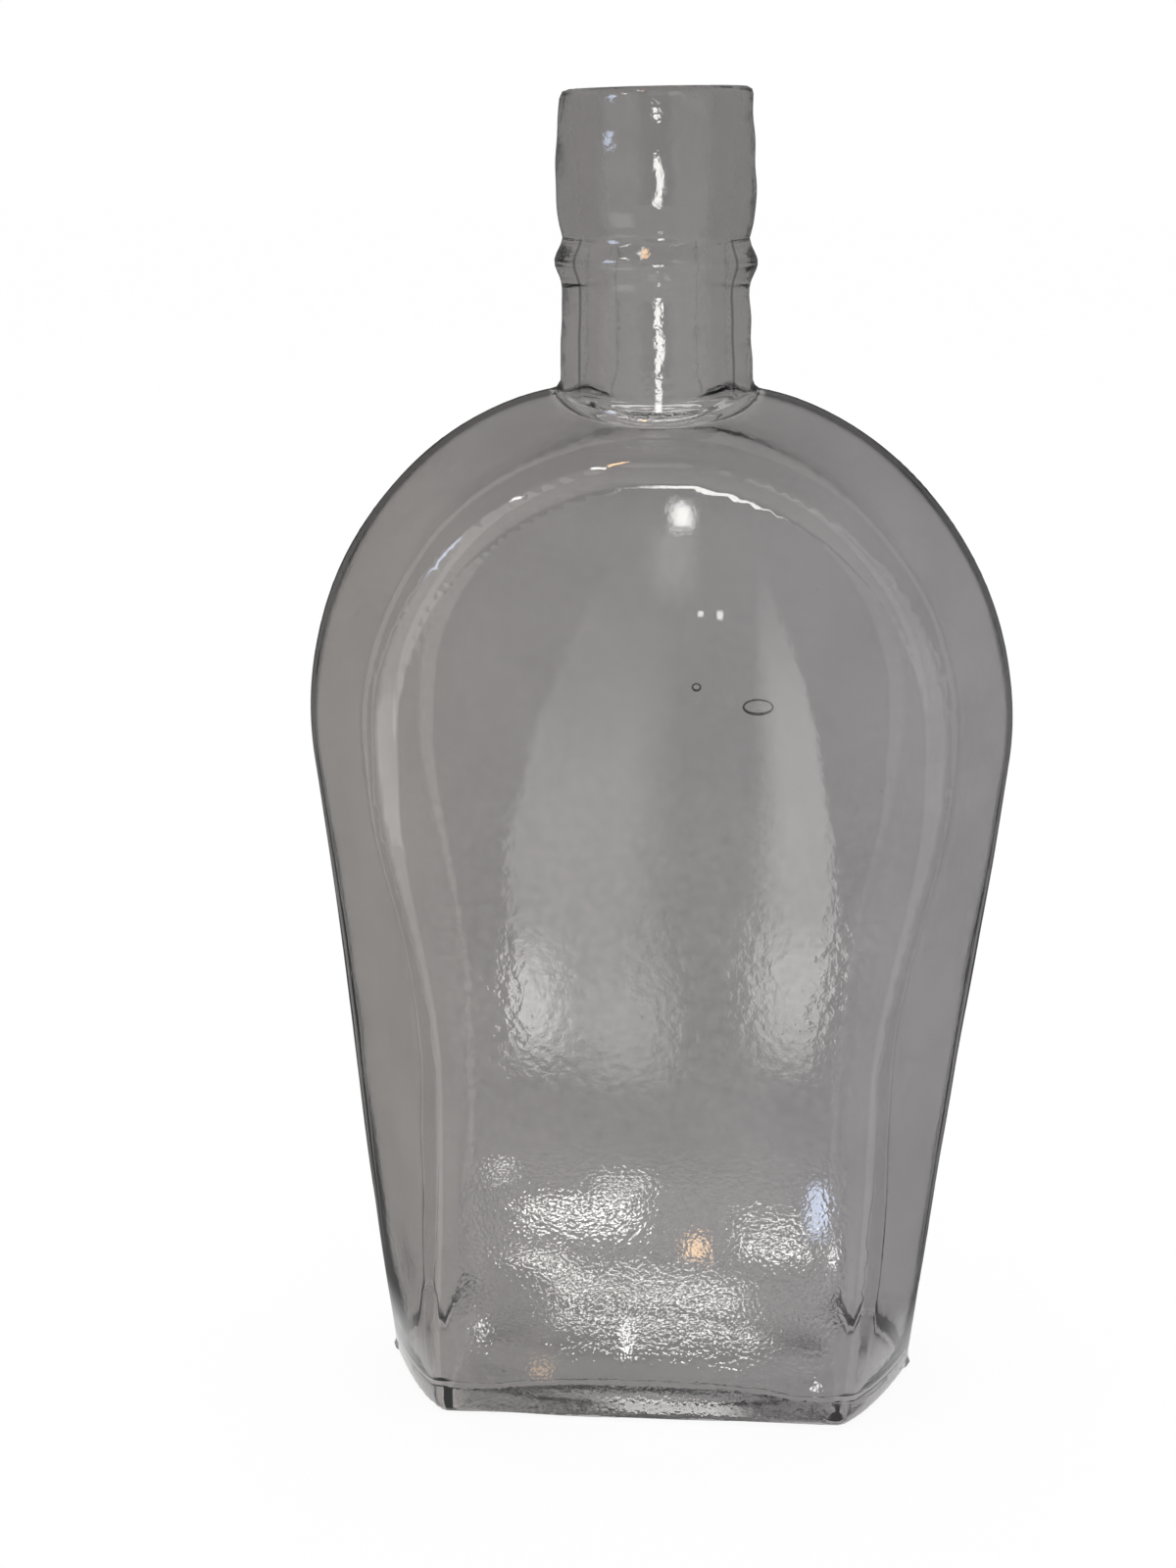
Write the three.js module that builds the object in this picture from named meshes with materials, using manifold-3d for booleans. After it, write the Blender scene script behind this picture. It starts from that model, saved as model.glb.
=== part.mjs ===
// Coffin flask: a mouth-blown glass spirit flask of about half a pint. Its horseshoe body has a flat
// keyhole panel on each face and bows out from that panel to a mould seam along each side. The round
// neck is open and carries two bands of added glass, a bead ring and the taller lip collar above it.
// Millimetres, +Z up, origin at the centre of the base, front panel towards -Y.

import * as THREE from "three";
import { mergeVertices } from "three/addons/utils/BufferGeometryUtils.js";
import Module from "manifold-3d";

// Body outline, seen from the front
const SHOULDER_RADIUS = 44.4;
const SHOULDER_HEIGHT = 87.4; // centre of the shoulder arc above the base
const FOOT_WIDTH = 68; // from seam to seam at the base

// Body section, seen from above
const BODY_DEPTH = 37; // from panel to panel
const BEVEL_WIDTH = 12.6; // from the seam in to the panel, round the shoulders
const FOOT_BEVEL_WIDTH = 8.1; // the same at the base
const BEVEL_BOW = 0.8; // how far the bevel swells out of a straight line
const PANEL_RIM_WIDTH = 2.8; // narrow facet that frames the panel
const PANEL_RIM_DROP = 0.9; // how far that facet falls back from the panel
const PANEL_LOWER_PULL = 58; // how long the panel's side keeps its upright start at the base
const PANEL_UPPER_PULL = 16; // how long it keeps its upright end at the shoulder arc
const HEEL_RADIUS = 2.5;

// Glass thickness and base
const BODY_WALL = 2.5;
const FLOOR_EDGE = 2; // thickness of the floor at the corners
const FLOOR_DOME = 2.6; // how far the floor swells up in the middle
const KICK_UP = 2.2; // depth of the hollow under the base
const REST_RIM = 4; // flat band round that hollow, on which the flask stands

// Neck
const NECK_LENGTH = 15.4; // from the top of the shoulder arc to the lip collar
const NECK_RADIUS = 11.3;
const NECK_SPREAD = 0.5; // how much wider the neck is where it leaves the shoulders
const BORE_RADIUS = 6;
const MOUTH_FLARE = 1.1; // how much wider the bore is at the rim

// Lip collar
const COLLAR_HEIGHT = 17.8;
const COLLAR_BELLY_HEIGHT = 6; // widest line above the collar's lower edge
const COLLAR_BELLY = 0.9; // how far the widest line stands out from the neck
const COLLAR_TOP = 0.15; // how far the rim stands out from the neck
const COLLAR_LAP = 9; // length of neck held inside the collar
const RIM_ROUND = 0.8;

// Bead ring
const RING_HEIGHT = 5.2;
const RING_BULGE = 1.1; // how far the ring stands out from the neck
const RING_TO_COLLAR = 0.4; // open groove between the ring and the collar

const GLASS_GAP = 0.3; // clearance between the neck and each band of added glass

// Smoothness of the round surfaces
const LATHE_STEPS = 48;
const PROFILE_STEPS = 5;
const BEVEL_STEPS = 4;
const FOOT_STEPS = 2;
const CORNER_STEPS = 3;
const SIDE_STEPS = 8;
const ARC_STEPS = 17;

const wasm = await Module();
wasm.setup();

// Heights and widths that several pieces share
const footHalf = FOOT_WIDTH / 2;
const halfDepth = BODY_DEPTH / 2;
const shoulderTop = SHOULDER_HEIGHT + SHOULDER_RADIUS;
const collarZ = shoulderTop + NECK_LENGTH;
const rimZ = collarZ + COLLAR_HEIGHT;
const lapZ = collarZ + COLLAR_LAP;
const ringTopZ = collarZ - RING_TO_COLLAR;
const ringLowZ = ringTopZ - RING_HEIGHT;
const lapRadius = (NECK_RADIUS + boreRadius(lapZ)) / 2;

// The bore is straight through the neck and widens evenly through the collar.
function boreRadius(z) {
  const rise = THREE.MathUtils.clamp((z - collarZ) / COLLAR_HEIGHT, 0, 1);
  return BORE_RADIUS + MOUTH_FLARE * rise;
}

// Angle of the straight sides, which rise from the foot and run tangent into the shoulder arc.
function sideTaper() {
  const reach = Math.hypot(footHalf, SHOULDER_HEIGHT);
  return Math.atan2(SHOULDER_HEIGHT, footHalf) - Math.acos(SHOULDER_RADIUS / reach);
}

// A closed geometry as a solid that can be joined and cut.
function solid(geometry) {
  const bare = geometry.clone();
  bare.deleteAttribute("normal");
  bare.deleteAttribute("uv");
  const merged = mergeVertices(bare, 1e-5);
  const index = merged.index.array;
  const triangles = [];
  for (let i = 0; i < index.length; i += 3) {
    const [a, b, c] = index.slice(i, i + 3);
    if (a !== b && b !== c && c !== a) triangles.push(a, b, c);
  }
  return new wasm.Manifold(
    new wasm.Mesh({
      numProp: 3,
      vertProperties: new Float32Array(merged.attributes.position.array),
      triVerts: new Uint32Array(triangles),
    }),
  );
}

function geometryOf(manifold) {
  const mesh = manifold.getMesh();
  const geometry = new THREE.BufferGeometry();
  geometry.setAttribute("position", new THREE.BufferAttribute(mesh.vertProperties, 3));
  geometry.setIndex(new THREE.BufferAttribute(mesh.triVerts, 1));
  geometry.computeVertexNormals();
  return geometry;
}

// A solid turned about the Z axis from [radius, height] points, outside upwards.
function turned(points) {
  const profile = points.map(([radius, z]) => new THREE.Vector2(radius, z));
  return new THREE.LatheGeometry(profile, LATHE_STEPS).rotateX(Math.PI / 2);
}

// Points of the right half of an outline, from the middle of its foot to its top.
function halfOutline(curves) {
  const steps = [FOOT_STEPS, CORNER_STEPS, SIDE_STEPS, ARC_STEPS];
  return curves.flatMap((curve, i) => curve.getPoints(steps[i]).slice(i > 0 ? 1 : 0));
}

// Widest outline of a slab: straight foot, rounded corner, tapered side and shoulder arc.
function seamOutline(slab, footZ) {
  const at = (x, z) => new THREE.Vector2(x, z);
  const taper = sideTaper();
  const sideX = (z) => slab.arc / Math.cos(taper) - (SHOULDER_HEIGHT - z) * Math.tan(taper);
  const cornerZ = footZ + HEEL_RADIUS;
  const cornerX = sideX(footZ);
  const sideTop = at(slab.arc * Math.cos(taper), SHOULDER_HEIGHT - slab.arc * Math.sin(taper));
  return halfOutline([
    new THREE.LineCurve(at(0, footZ), at(cornerX - HEEL_RADIUS, footZ)),
    new THREE.QuadraticBezierCurve(
      at(cornerX - HEEL_RADIUS, footZ),
      at(cornerX, footZ),
      at(sideX(cornerZ), cornerZ),
    ),
    new THREE.LineCurve(at(sideX(cornerZ), cornerZ), sideTop),
    new THREE.EllipseCurve(0, SHOULDER_HEIGHT, slab.arc, slab.arc, -taper, Math.PI / 2),
  ]);
}

// Outline of a slab's flat face: the same run of curves, drawn in at the foot like a keyhole.
function panelOutline(slab, footZ) {
  const at = (x, z) => new THREE.Vector2(x, z);
  const cornerZ = footZ + HEEL_RADIUS;
  const foot = slab.panelFoot;
  const arc = slab.panelArc;
  return halfOutline([
    new THREE.LineCurve(at(0, footZ), at(foot - HEEL_RADIUS, footZ)),
    new THREE.QuadraticBezierCurve(at(foot - HEEL_RADIUS, footZ), at(foot, footZ), at(foot, cornerZ)),
    new THREE.CubicBezierCurve(
      at(foot, cornerZ),
      at(foot, cornerZ + PANEL_LOWER_PULL),
      at(arc, SHOULDER_HEIGHT - PANEL_UPPER_PULL),
      at(arc, SHOULDER_HEIGHT),
    ),
    new THREE.EllipseCurve(0, SHOULDER_HEIGHT, arc, arc, 0, Math.PI / 2),
  ]);
}

// Section from the seam to the panel as [share of the bevel's width, depth] pairs: a bowed bevel,
// then the narrow facet that frames the panel.
function bevelSection(slab) {
  const width = slab.arc - slab.panelArc;
  const start = new THREE.Vector2(0, 0);
  const end = new THREE.Vector2(width - PANEL_RIM_WIDTH, slab.halfDepth - PANEL_RIM_DROP);
  const outward = new THREE.Vector2(-(end.y - start.y), end.x - start.x).normalize();
  const control = start.clone().add(end).multiplyScalar(0.5);
  control.addScaledVector(outward, 2 * BEVEL_BOW);
  const bevel = new THREE.QuadraticBezierCurve(start, control, end).getPoints(BEVEL_STEPS);
  const section = [...bevel, new THREE.Vector2(width, slab.halfDepth)];
  return section.map((point) => [point.x / width, point.y]);
}

// How far the foot of a loop lifts off the base plane, which rounds the heel.
function heelLift(slab, depth) {
  const past = Math.max(0, depth - (slab.halfDepth - HEEL_RADIUS));
  return HEEL_RADIUS - Math.sqrt(HEEL_RADIUS ** 2 - past ** 2);
}

// A closed horseshoe solid, made of loops that run from the front panel through the seam to the back.
function horseshoeSlab(slab) {
  const front = bevelSection(slab).reverse();
  const back = front.slice(0, -1).reverse();
  const stations = [
    ...front.map(([share, depth]) => ({ share, depth, y: -depth })),
    ...back.map(([share, depth]) => ({ share, depth, y: depth })),
  ];
  const loops = stations.map(({ share, depth, y }) => {
    const footZ = slab.footZ + heelLift(slab, depth);
    const seam = seamOutline(slab, footZ);
    const panel = panelOutline(slab, footZ);
    const right = seam.map((point, i) => point.clone().lerp(panel[i], share));
    const left = right.slice(1, -1).reverse();
    return [
      ...right.map((point) => new THREE.Vector3(point.x, y, point.y)),
      ...left.map((point) => new THREE.Vector3(-point.x, y, point.y)),
    ];
  });
  const count = loops[0].length;
  const index = [];
  for (let i = 0; i + 1 < loops.length; i += 1) {
    for (let j = 0; j < count; j += 1) {
      const near = i * count + j;
      const nearNext = i * count + ((j + 1) % count);
      index.push(near, near + count, nearNext + count, near, nearNext + count, nearNext);
    }
  }
  const face = loops[0].map((point) => new THREE.Vector2(point.x, point.z));
  const last = (loops.length - 1) * count;
  for (const [a, b, c] of THREE.ShapeUtils.triangulateShape(face, [])) {
    index.push(a, b, c, last + a, last + c, last + b);
  }
  const geometry = new THREE.BufferGeometry().setFromPoints(loops.flat());
  geometry.setIndex(index);
  return geometry;
}

// A flattened half ball that stands on the plane z, used for the floor's dome and the kick-up.
function oval(halfX, halfY, rise, z) {
  const ball = new THREE.SphereGeometry(1, LATHE_STEPS / 2, LATHE_STEPS / 4).rotateX(Math.PI / 2);
  return ball.scale(halfX, halfY, rise).translate(0, 0, z);
}

// Blown body and neck, hollow and open at the top.
function flaskBody() {
  const outside = {
    arc: SHOULDER_RADIUS,
    panelArc: SHOULDER_RADIUS - BEVEL_WIDTH,
    panelFoot: footHalf - FOOT_BEVEL_WIDTH,
    halfDepth,
    footZ: 0,
  };
  // An even wall moves the seam in by more, and the panel's edge by less, than its own thickness.
  const slant = Math.hypot(BEVEL_WIDTH, halfDepth);
  const seamInset = (BODY_WALL * slant) / halfDepth;
  const panelInset = (BODY_WALL * (slant - BEVEL_WIDTH)) / halfDepth;
  const inside = {
    arc: outside.arc - seamInset,
    panelArc: outside.panelArc - panelInset,
    panelFoot: outside.panelFoot - panelInset,
    halfDepth: halfDepth - BODY_WALL,
    footZ: FLOOR_EDGE,
  };
  const neck = turned([
    [0, SHOULDER_HEIGHT],
    [NECK_RADIUS + NECK_SPREAD, SHOULDER_HEIGHT],
    [NECK_RADIUS + NECK_SPREAD, shoulderTop - NECK_SPREAD],
    [NECK_RADIUS, ringLowZ],
    [NECK_RADIUS, collarZ],
    [lapRadius, collarZ],
    [lapRadius, lapZ],
    [0, lapZ],
  ]);
  const bore = turned([
    [0, SHOULDER_HEIGHT],
    [BORE_RADIUS, SHOULDER_HEIGHT],
    [boreRadius(collarZ), collarZ],
    [boreRadius(rimZ), rimZ],
    [0, rimZ],
  ]);
  const dome = oval(outside.panelFoot, halfDepth + BODY_WALL, FLOOR_DOME, FLOOR_EDGE);
  const kickUp = oval(
    footHalf - HEEL_RADIUS - REST_RIM,
    halfDepth - HEEL_RADIUS - REST_RIM,
    KICK_UP,
    0,
  );
  const hollow = solid(horseshoeSlab(inside)).subtract(solid(dome)).add(solid(bore));
  const glass = solid(horseshoeSlab(outside)).add(solid(neck));
  return geometryOf(glass.subtract(hollow).subtract(solid(kickUp)));
}

// Lip collar, lapped over the end of the neck, with a barrel outside and a flat rim.
function lipCollar() {
  const inner = lapRadius + GLASS_GAP;
  const lowZ = collarZ + GLASS_GAP;
  const seatZ = lapZ + GLASS_GAP;
  const belly = NECK_RADIUS + COLLAR_BELLY;
  const top = NECK_RADIUS + COLLAR_TOP;
  const mouth = boreRadius(rimZ);
  const path = new THREE.Path();
  path.moveTo(inner, lowZ);
  path.lineTo(NECK_RADIUS, lowZ);
  path.quadraticCurveTo(belly, lowZ, belly, collarZ + COLLAR_BELLY_HEIGHT);
  path.lineTo(top, rimZ - RIM_ROUND);
  path.quadraticCurveTo(top, rimZ, top - RIM_ROUND, rimZ);
  path.lineTo(mouth + RIM_ROUND, rimZ);
  path.quadraticCurveTo(mouth, rimZ, boreRadius(rimZ - RIM_ROUND), rimZ - RIM_ROUND);
  path.lineTo(boreRadius(seatZ), seatZ);
  path.lineTo(inner, seatZ);
  path.lineTo(inner, lowZ);
  return turned(path.getPoints(PROFILE_STEPS).map((point) => [point.x, point.y]));
}

// Bead ring, laid round the neck just under the collar.
function neckRing() {
  const inner = NECK_RADIUS + GLASS_GAP;
  const bulge = RING_BULGE - GLASS_GAP;
  const middleZ = (ringLowZ + ringTopZ) / 2;
  const arc = new THREE.EllipseCurve(
    inner,
    middleZ,
    bulge,
    RING_HEIGHT / 2,
    -Math.PI / 2,
    Math.PI / 2,
  );
  const points = arc.getPoints(2 * PROFILE_STEPS).map((point) => [point.x, point.y]);
  return turned([...points, points[0]]);
}

// One named piece of grey-lilac glass.
function glassPiece(name, geometry, colour) {
  const material = new THREE.MeshStandardMaterial({
    color: colour,
    roughness: 0.06,
    metalness: 0,
    transparent: true,
    opacity: 0.45,
  });
  const mesh = new THREE.Mesh(geometry, material);
  mesh.name = name;
  return mesh;
}

const finish = new THREE.Group();
finish.add(glassPiece("lip_collar", lipCollar(), 0x9a9698));
finish.add(glassPiece("neck_ring", neckRing(), 0x9c9899));

const flask = new THREE.Group();
flask.add(glassPiece("flask_body", flaskBody(), 0xa8a3a4));
flask.add(finish);

export default flask;
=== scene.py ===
import math

import bmesh
import bpy
import numpy as np
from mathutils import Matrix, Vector


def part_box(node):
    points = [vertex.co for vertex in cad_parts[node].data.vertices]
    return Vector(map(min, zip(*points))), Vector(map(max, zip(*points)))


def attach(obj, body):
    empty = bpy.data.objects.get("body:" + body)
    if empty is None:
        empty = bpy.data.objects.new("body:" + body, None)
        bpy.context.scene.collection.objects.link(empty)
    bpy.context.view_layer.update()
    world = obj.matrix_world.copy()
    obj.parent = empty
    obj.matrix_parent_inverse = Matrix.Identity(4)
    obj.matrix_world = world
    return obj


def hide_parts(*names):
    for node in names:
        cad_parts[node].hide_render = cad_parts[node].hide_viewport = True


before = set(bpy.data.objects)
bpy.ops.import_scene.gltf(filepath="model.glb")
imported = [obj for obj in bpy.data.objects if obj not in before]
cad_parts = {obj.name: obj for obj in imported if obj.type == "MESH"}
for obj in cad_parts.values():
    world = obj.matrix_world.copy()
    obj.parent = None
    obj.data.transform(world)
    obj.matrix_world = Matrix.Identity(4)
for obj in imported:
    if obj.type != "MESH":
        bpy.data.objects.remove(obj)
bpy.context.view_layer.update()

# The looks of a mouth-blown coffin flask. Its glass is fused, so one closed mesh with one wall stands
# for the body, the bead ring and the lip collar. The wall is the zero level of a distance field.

MM = 0.001  # the field below is written in millimetres
SEED = 7

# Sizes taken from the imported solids
body_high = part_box("flask_body")[1] / MM
collar_low, collar_high = (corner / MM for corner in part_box("lip_collar"))
ring_low, ring_high = (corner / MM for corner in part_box("neck_ring"))
SHOULDER_RADIUS = body_high.x
HALF_DEPTH = body_high.y
RIM_Z = collar_high.z
COLLAR_Z = collar_low.z
RING_Z = (ring_low.z + ring_high.z) / 2
RING_RADIUS = ring_high.x
COLLAR_RADIUS = collar_high.x

# Body outline and section
SHOULDER_HEIGHT = 87.4
FOOT_HALF = 34.0
PANEL_INSET = 12.6
PANEL_RADIUS = SHOULDER_RADIUS - PANEL_INSET
PANEL_FOOT_HALF = 26.0
PANEL_FLARE = 0.01  # widening of the panel's lower half, for each millimetre of height
PANEL_WAIST_Z = 44.0  # above this the panel swells to meet its round top
PANEL_FULL_Z = 82.0
PANEL_TUCK = 1.0  # how much the panel draws in at the heel
TUCK_REACH = 6.0
FACET_WIDTH = 2.7  # narrow facet that frames the panel
FACET_FOOT_WIDTH = 0.9
FACET_FOOT_Z = 58.0
FACET_FULL_Z = 90.0
FACET_SLOPE = 0.32
PANEL_SAG = 0.06
SAG_REACH = 20.0
BEVEL_BOW = 0.8
SEAM_ROUND = 0.8
EDGE_ROUND = 0.35  # between bevel and facet
PANEL_ROUND = 0.08  # between facet and panel
HEEL_ROUND = 1.0
NUB_PLACE = (33.7, 0.9)
NUB_RADIUS = 0.9
NUB_BLEND = 0.5
BODY_LEAN = 1.05  # sideways bow of the blown body
LEAN_Z = 76.0
LEAN_REACH = 44.0
END_LEAN = 0.4  # how far neck and foot stand off to the other side
FOOT_TWIST = math.radians(-3.4)
TWIST_TOP = 30.0
SHOULDER_DIP = 6.0  # how the shoulder arc falls away towards the neck, before it fades
DIP_REACH = 7.0
DIP_RISE = 40.0

# Glass thickness and base
PANEL_WALL = 2.5  # measured square to the panels; the slanted bevels come out thinner
INNER_SEAM_ROUND = 1.2
INNER_SEAM_EDGE = 0.01
INNER_EDGE_ROUND = 2.0  # the blown inside follows the mould's edges softly
FLOOR_EDGE = 2.2
FLOOR_DOME = 1.2
FLOOR_HALF = (PANEL_FOOT_HALF, HALF_DEPTH * 1.6)
KICK_UP = 1.2
KICK_HALF = (26.0, 12.0)
DOME_STEEPNESS = 1.5
INNER_ROUND = 3.0
THROAT_ROUND = 3.0

# Neck and finish
NECK_RADIUS = 11.3
NECK_SPREAD = 0.5
SPREAD_REACH = 12.0
NECK_FILLET = 1.2
RING_REACH = 1.9
COLLAR_BELLY_Z = COLLAR_Z + 6.0
COLLAR_RIM_RADIUS = 11.4
COLLAR_TAPER = 1.4  # power of the collar's narrowing towards the rim
COLLAR_ROUND = 0.8
COLLAR_BLEND = 0.8
BORE_RADIUS = 6.0
MOUTH_RADIUS = 7.1
MOUTH_OVERRUN = 1.2  # the flare goes on a little past the rim
RIM_ROUND = 1.0
RIM_TILT = 0.02
TOOL_MARK = 0.045  # uneven rings left by the finishing tool
TOOL_MARK_LENGTH = 6.5
TOOL_MARK_STRETCH = (0.45, 0.45, 1.3)
TOOL_MARK_FADE = 4.0
TOOL_MARK_SEED = 8

# Marks left by the blowing: uneven skins, ripples over the foot and seeds of trapped air
SKIN_WAVES = ((0.02, 16, 3), (0.05, 45, 4))  # height, length and seed
WALL_WAVES = ((0.18, 38, 1), (0.03, 11, 2))
RIPPLE_HEIGHT = 0.04
RIPPLE_LENGTH = 8.2
RIPPLE_TOP = 36.0
RIPPLE_FADE = 10.0
RIPPLE_SIDE_FADE = 5.0
RIPPLE_WANDER = 0.8
RIPPLE_WANDER_LENGTH = 34
RIPPLE_WANDER_SEED = 6
SEEDS = [
    # x, z, half width, half height, half thickness
    (12.2, 92.4, 1.9, 1.05, 0.75),
    (4.8, 94.8, 0.6, 0.55, 0.5),
]

# How the mesh is drawn
GRID_STEP = 0.86
GRID_MARGIN = 2.5  # in steps; sets the flat panels and the base between two planes of the grid
NET_WALL = 4.8
RIM_BAND = 4.0
PROJECT_STEPS = 6
RELAX_ROUNDS = 5
RELAX_STEPS = 2
RELAX_SHARE = 0.6
MIN_STEEPNESS = 0.05


def smooth_max(a, b, reach):
    """The larger of two fields, with their meeting edge rounded over reach."""
    near = np.maximum(reach - np.abs(a - b), 0.0) / reach
    return np.maximum(a, b) + near * near * reach / 4


def smooth_min(a, b, reach):
    return -smooth_max(-a, -b, reach)


def smoothstep(t):
    t = np.clip(t, 0.0, 1.0)
    return t * t * (3 - 2 * t)


def ripples(points, length, seed, stretch=(1.0, 1.0, 1.0), waves=14):
    """Smooth seeded unevenness of about unit height, with crests some length apart."""
    rng = np.random.default_rng(SEED + seed)
    ways = rng.normal(size=(waves, 3))
    ways *= np.array(stretch) / np.linalg.norm(ways, axis=1, keepdims=True)
    phases = rng.uniform(0, 2 * math.pi, waves)
    total = sum(np.sin(points @ way * (2 * math.pi / length) + phase) for way, phase in zip(ways, phases))
    return total / math.sqrt(waves / 2)


SIDE_TAPER = math.atan2(SHOULDER_HEIGHT, FOOT_HALF) - math.acos(
    SHOULDER_RADIUS / math.hypot(FOOT_HALF, SHOULDER_HEIGHT)
)


def seam_depth(x, z):
    """Distance in from the horseshoe outline: shoulder arc above, tapered straight sides below."""
    across, up = np.abs(x), z - SHOULDER_HEIGHT
    on_arc = across * math.sin(SIDE_TAPER) + up * math.cos(SIDE_TAPER) > 0
    to_side = across * math.cos(SIDE_TAPER) - up * math.sin(SIDE_TAPER)
    dip = SHOULDER_DIP * np.exp(-np.maximum(across, NECK_RADIUS) / DIP_REACH) * smoothstep(up / DIP_RISE)
    return SHOULDER_RADIUS - dip - np.where(on_arc, np.hypot(across, up), to_side)


def panel_gap(x, z):
    """Distance out from the keyhole panel, negative inside it."""
    across, up = np.abs(x), z - SHOULDER_HEIGHT
    span = PANEL_FULL_Z - PANEL_WAIST_Z
    t = np.clip((z - PANEL_WAIST_Z) / span, 0.0, 1.0)
    swell = PANEL_RADIUS - PANEL_FOOT_HALF - PANEL_FLARE * SHOULDER_HEIGHT
    half = PANEL_FOOT_HALF + PANEL_FLARE * z + swell * smoothstep(t)
    half = half - PANEL_TUCK * np.exp(-np.maximum(z, 0) / TUCK_REACH)
    slope = swell * 6 * t * (1 - t) / span
    return np.where(up > 0, np.hypot(across, up) - PANEL_RADIUS, (across - half) / np.hypot(1, slope))


def facet_width(z):
    return FACET_FOOT_WIDTH + (FACET_WIDTH - FACET_FOOT_WIDTH) * smoothstep(
        (z - FACET_FOOT_Z) / (FACET_FULL_Z - FACET_FOOT_Z)
    )


def section_field(x, z, depth, seam_round, edge_round=EDGE_ROUND, panel_round=PANEL_ROUND):
    """The body without its foot, by depth from the seam plane: bowed bevels, narrow facets, flat panels."""
    inset = seam_depth(x, z)
    rim = facet_width(z)
    width = np.maximum(inset + panel_gap(x, z), 2 * rim)
    run, rise = width - rim, HALF_DEPTH - FACET_SLOPE * rim
    rounded = np.sqrt(depth * depth + seam_round * seam_round) - seam_round
    rounded = rounded * rise / (np.hypot(rise, seam_round) - seam_round)
    bow = np.clip(inset / run, 0.0, 1.0)
    bevel = (rounded * run - inset * rise) / np.hypot(run, rise) - 4 * BEVEL_BOW * bow * (1 - bow)
    facet = (depth - rise - (inset - run) * FACET_SLOPE) / math.hypot(1, FACET_SLOPE)
    sag = PANEL_SAG * smoothstep((inset - width) / SAG_REACH)
    return smooth_max(smooth_max(bevel, facet, edge_round), depth - HALF_DEPTH + sag, panel_round)


def oval_rise(x, y, half, rise):
    """A shallow dome over an oval, level with zero outside it."""
    inside = np.maximum(1 - (x / half[0]) ** 2 - (y / half[1]) ** 2, 0.0)
    return rise * smoothstep(inside * DOME_STEEPNESS)


def neck_radius(z):
    spread = NECK_SPREAD * np.clip((RING_Z - z) / SPREAD_REACH, 0.0, 1.0)
    bead = (RING_RADIUS - NECK_RADIUS) * np.exp(-(((z - RING_Z) / RING_REACH) ** 2))
    return NECK_RADIUS + spread + bead


def collar_radius(z):
    low = np.clip((COLLAR_BELLY_Z - z) / (COLLAR_BELLY_Z - COLLAR_Z), 0.0, 1.0)
    high = np.clip((z - COLLAR_BELLY_Z) / (RIM_Z - COLLAR_BELLY_Z), 0.0, 1.0)
    swell = (COLLAR_RADIUS - NECK_RADIUS) * np.sqrt(1 - low * low)
    return NECK_RADIUS + swell - (COLLAR_RADIUS - COLLAR_RIM_RADIUS) * high**COLLAR_TAPER


def bore_radius(z):
    flare = np.clip((z - COLLAR_Z) / (RIM_Z - COLLAR_Z), 0.0, MOUTH_OVERRUN)
    return BORE_RADIUS + (MOUTH_RADIUS - BORE_RADIUS) * flare


def foot_ripples(points):
    """Level ripples low on the panels, left where the glass chilled on the mould."""
    x, y, z = points.T
    band = smoothstep((RIPPLE_TOP - z) / RIPPLE_FADE)
    band = band * smoothstep((PANEL_FOOT_HALF - np.abs(x)) / RIPPLE_SIDE_FADE)
    wander = RIPPLE_WANDER * ripples(points, RIPPLE_WANDER_LENGTH, RIPPLE_WANDER_SEED)
    return RIPPLE_HEIGHT * band * np.sin(2 * math.pi * z / RIPPLE_LENGTH + wander)


def tool_marks(points):
    """Uneven level rings round neck and collar."""
    high = smoothstep((points[:, 2] - SHOULDER_HEIGHT - SHOULDER_RADIUS) / TOOL_MARK_FADE)
    return TOOL_MARK * high * ripples(points, TOOL_MARK_LENGTH, TOOL_MARK_SEED, TOOL_MARK_STRETCH)


def blown_place(points):
    """Takes points back to the true mould shape from the bow and twist of the blown flask."""
    x, y, z = points.T
    turn = FOOT_TWIST * smoothstep((TWIST_TOP - z) / TWIST_TOP)
    x = x - BODY_LEAN * np.exp(-(((z - LEAN_Z) / LEAN_REACH) ** 2)) + END_LEAN
    return x * np.cos(turn) + y * np.sin(turn), y * np.cos(turn) - x * np.sin(turn), z


def outside_field(points, detail=True):
    """Negative within the flask's outer skin. Without detail the skin has no unevenness."""
    x, y, z = blown_place(points)
    from_axis = np.hypot(x, y)
    foot = oval_rise(x, y, KICK_HALF, KICK_UP) - z
    body = smooth_max(section_field(x, z, np.abs(y), SEAM_ROUND), foot, HEEL_ROUND)
    nub = np.sqrt((np.abs(x) - NUB_PLACE[0]) ** 2 + y * y + (z - NUB_PLACE[1]) ** 2) - NUB_RADIUS
    body = smooth_min(body, nub, NUB_BLEND)
    neck = np.maximum(from_axis - neck_radius(z), SHOULDER_HEIGHT - z)
    collar = smooth_max(from_axis - collar_radius(z), COLLAR_Z - z, COLLAR_ROUND)
    field = smooth_min(body, smooth_min(neck, collar, COLLAR_BLEND), NECK_FILLET)
    if detail:
        for height, length, seed in SKIN_WAVES:
            field = field + height * ripples(points, length, seed)
        field = field + foot_ripples(points) + tool_marks(points)
    return smooth_max(field, z - RIM_Z - RIM_TILT * (x - COLLAR_RADIUS), RIM_ROUND)


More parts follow.
